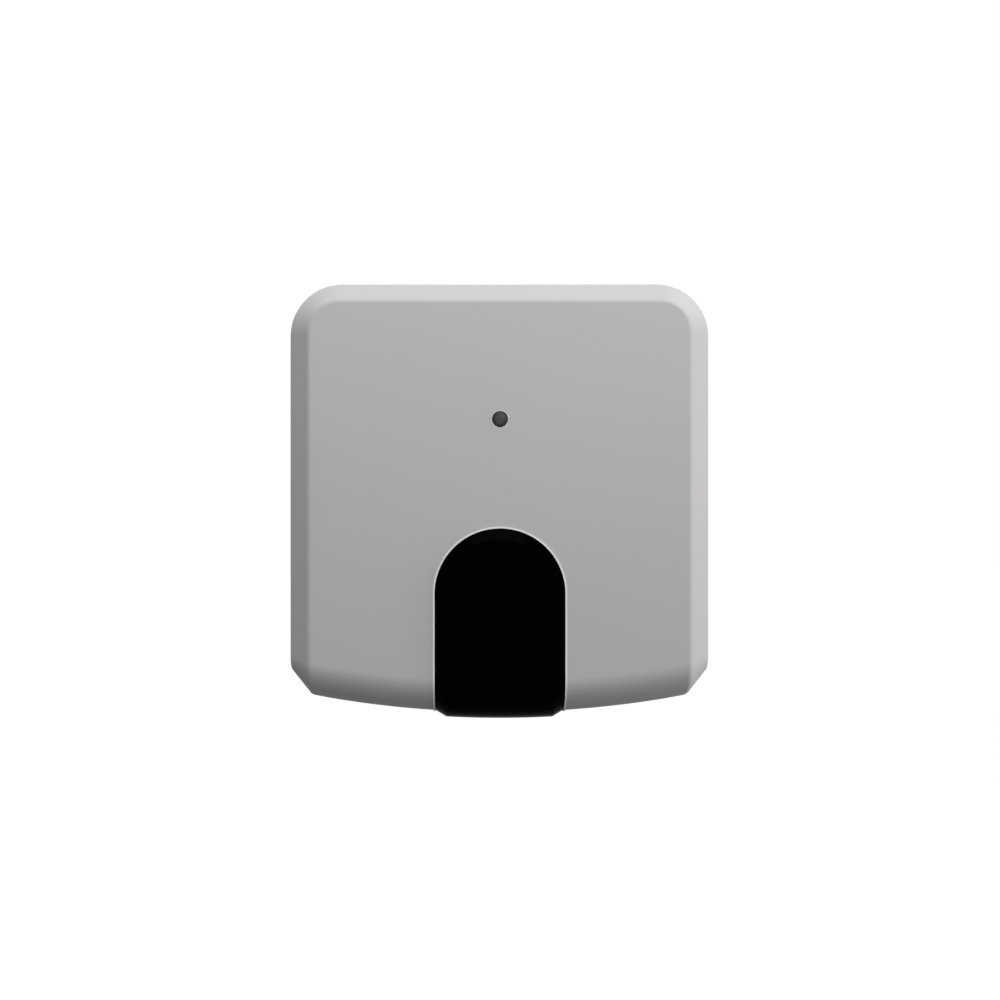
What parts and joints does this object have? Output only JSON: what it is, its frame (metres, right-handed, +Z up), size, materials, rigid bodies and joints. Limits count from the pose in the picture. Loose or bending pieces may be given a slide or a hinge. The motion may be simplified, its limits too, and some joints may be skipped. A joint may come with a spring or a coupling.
{
  "type": "wi-fi air conditioner controller",
  "caption": "Wall-mounted infrared controller in a bevelled grey case with a black wrap-round window, a push button, a power socket and keyhole mounts.",
  "frame": {"origin": "middle of the rear face, on the wall", "axes": "+Y out of the rear face into the wall, so the front looks along -Y; +X to the right as seen from the front; +Z up"},
  "size_m": [0.078, 0.0281, 0.0811],
  "materials": {
    "front_cover": "fine moulded grain, light warm grey",
    "rear_cover": "fine moulded grain, light warm grey",
    "ir_window": "smoked infrared-pass plastic, polished",
    "case_screws": "zinc plated",
    "board_screws": "zinc plated",
    "main_board": "green solder mask",
    "wifi_board": "dark solder mask",
    "wifi_shield": "tinned sheet",
    "wifi_antenna": "gold flashed copper",
    "controller_chip": "moulded epoxy",
    "controller_pins": "tinned",
    "usb_shell": "nickel plated sheet",
    "usb_tongue": "moulded black plastic",
    "usb_contacts": "gold flashed",
    "emitter_holder": "moulded black plastic",
    "ir_emitters": "clear bluish epoxy",
    "emitter_leads": "tinned wire",
    "ir_receiver": "dark moulded epoxy",
    "receiver_leads": "tinned wire",
    "status_led": "milky lens",
    "switch_base": "moulded black plastic",
    "switch_dome": "spring steel",
    "switch_plunger": "moulded black plastic",
    "switch_cover": "nickel plated sheet",
    "switch_pins": "tinned",
    "button_cap": "smoked plastic, satin",
    "capacitor_cans": "bare aluminium",
    "capacitor_bases": "moulded black plastic",
    "power_inductor": "ferrite",
    "regulator": "moulded epoxy",
    "crystal_can": "nickel plated can",
    "driver_transistors": "moulded epoxy",
    "chip_resistors": "glazed ceramic",
    "chip_capacitors": "ceramic",
    "input_diode": "moulded epoxy",
    "resettable_fuse": "laminate",
    "header_base": "moulded black plastic",
    "header_pins": "gold flashed"
  },
  "bodies": {
    "housing": {"front_cover": "front_cover", "rear_cover": "rear_cover", "ir_window": "ir_window", "case_screws": "case_screws", "board_screws": "board_screws", "main_board": "main_board", "wifi_board": "wifi_board", "wifi_shield": "wifi_shield", "wifi_antenna": "wifi_antenna", "controller_chip": "controller_chip", "controller_pins": "controller_pins", "usb_shell": "usb_shell", "usb_tongue": "usb_tongue", "usb_contacts": "usb_contacts", "emitter_holder": "emitter_holder", "ir_emitters": "ir_emitters", "emitter_leads": "emitter_leads", "ir_receiver": "ir_receiver", "receiver_leads": "receiver_leads", "status_led": "status_led", "switch_base": "switch_base", "switch_dome": "switch_dome", "switch_cover": "switch_cover", "switch_pins": "switch_pins", "capacitor_cans": "capacitor_cans", "capacitor_bases": "capacitor_bases", "power_inductor": "power_inductor", "regulator": "regulator", "crystal_can": "crystal_can", "driver_transistors": "driver_transistors", "chip_resistors": "chip_resistors", "chip_capacitors": "chip_capacitors", "input_diode": "input_diode", "resettable_fuse": "resettable_fuse", "header_base": "header_base", "header_pins": "header_pins"},
    "button": {"button_cap": "button_cap"},
    "plunger": {"switch_plunger": "switch_plunger"}
  },
  "joints": [
    {"name": "button_press", "type": "slide", "parent": "housing", "child": "button", "axis": [0, 1, 0], "range_m": [0, 0.0003], "stiffness_N_per_m": 2000, "deforming": ["switch_dome"]},
    {"name": "plunger_press", "type": "slide", "parent": "housing", "child": "plunger", "axis": [0, 1, 0], "range_m": [0, 0.0003]}
  ],
  "couplings": [
    {"joint": "plunger_press", "follows": "button_press", "ratio": 1}
  ]
}
